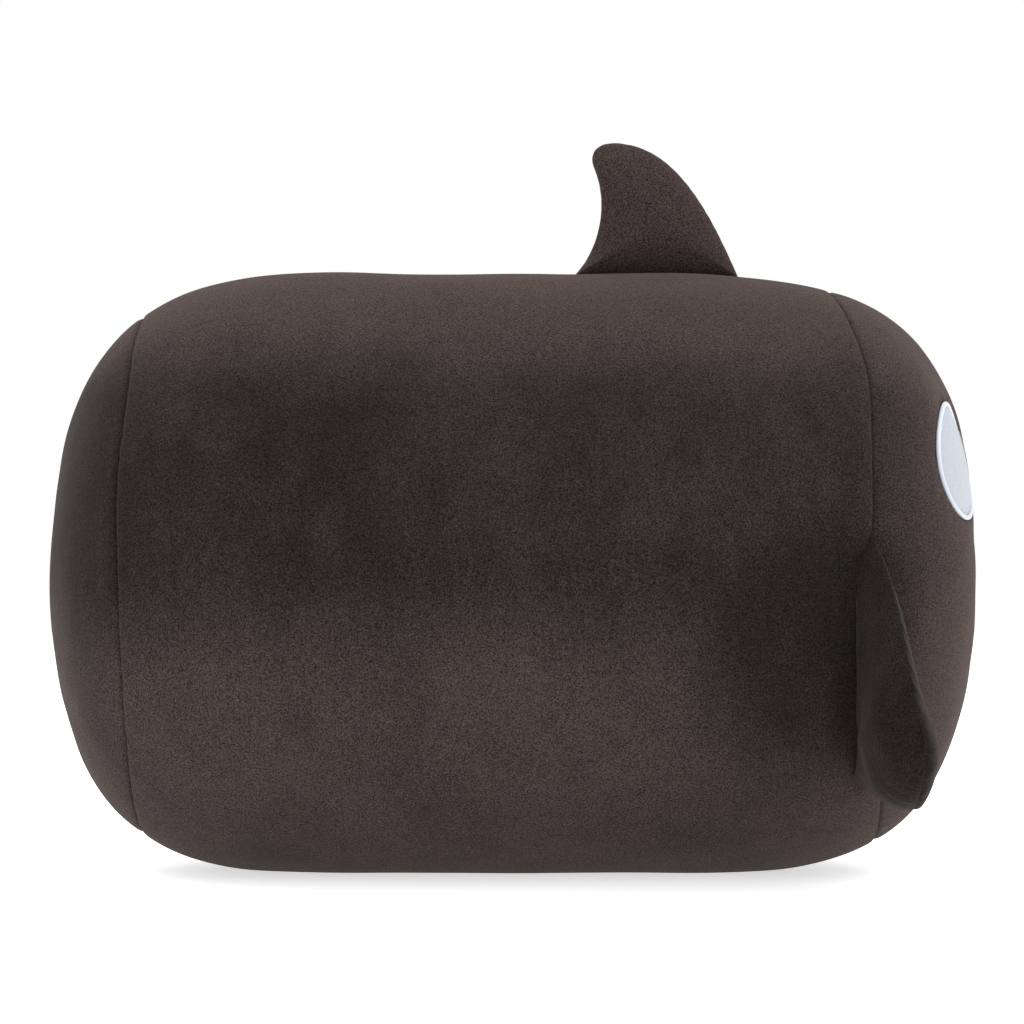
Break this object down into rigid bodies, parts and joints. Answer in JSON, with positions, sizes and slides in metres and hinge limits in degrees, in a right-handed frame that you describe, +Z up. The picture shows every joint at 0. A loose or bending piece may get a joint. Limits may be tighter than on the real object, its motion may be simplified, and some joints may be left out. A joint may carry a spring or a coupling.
{
  "type": "plush shark",
  "caption": "Stuffed bolster-shaped shark of dark short-pile plush, lying on its belly, with a dorsal fin and flippers that flex at their root seams.",
  "frame": {"origin": "on the floor under the middle of the body, where the belly rests", "axes": "+X along the body's axis towards the face, +Y to the shark's own left, +Z up"},
  "size_m": [0.503, 0.4244, 0.4003],
  "materials": {
    "dark_plush": "short-pile minky plush, soft low sheen along the nap",
    "fibre_fill": "matte polyester fibre stuffing",
    "dark_thread": "polyester sewing thread",
    "white_patch": "short-pile white plush",
    "white_satin_thread": "glossy satin-stitched embroidery thread",
    "black_satin_thread": "glossy satin-stitched embroidery thread",
    "label_ribbon": "smooth woven ribbon"
  },
  "bodies": {
    "body": {"barrel_panel": "dark_plush", "rear_panel": "dark_plush", "face_panel": "dark_plush", "body_stuffing": "fibre_fill", "front_ring_thread": "dark_thread", "rear_ring_thread": "dark_thread", "closing_thread": "dark_thread", "dorsal_root_thread": "dark_thread", "right_flipper_root_thread": "dark_thread", "left_flipper_root_thread": "dark_thread", "right_eye_patch": "white_patch", "right_eye_border": "white_satin_thread", "right_eye_pupil": "black_satin_thread", "left_eye_patch": "white_patch", "left_eye_border": "white_satin_thread", "left_eye_pupil": "black_satin_thread", "care_label": "label_ribbon"},
    "dorsal_fin": {"dorsal_left_panel": "dark_plush", "dorsal_right_panel": "dark_plush", "dorsal_stuffing": "fibre_fill", "dorsal_rim_thread": "dark_thread"},
    "right_flipper": {"right_flipper_front_panel": "dark_plush", "right_flipper_rear_panel": "dark_plush", "right_flipper_stuffing": "fibre_fill", "right_flipper_rim_thread": "dark_thread"},
    "left_flipper": {"left_flipper_front_panel": "dark_plush", "left_flipper_rear_panel": "dark_plush", "left_flipper_stuffing": "fibre_fill", "left_flipper_rim_thread": "dark_thread"}
  },
  "joints": [
    {"name": "dorsal_fin_sway", "type": "hinge", "parent": "body", "child": "dorsal_fin", "pos_m": [0.0785, 0, 0.3287], "axis": [1, 0, 0], "range_deg": [-40, 40], "stiffness_Nm_per_rad": 0.03},
    {"name": "right_flipper_swing", "type": "hinge", "parent": "body", "child": "right_flipper", "pos_m": [0.18709, -0.13908, 0.09735], "axis": [-0.0711, -0.4226, 0.9035], "range_deg": [-45, 45], "stiffness_Nm_per_rad": 0.05},
    {"name": "left_flipper_swing", "type": "hinge", "parent": "body", "child": "left_flipper", "pos_m": [0.18709, 0.13908, 0.09735], "axis": [0.0711, -0.4226, -0.9035], "range_deg": [-45, 45], "stiffness_Nm_per_rad": 0.05}
  ]
}
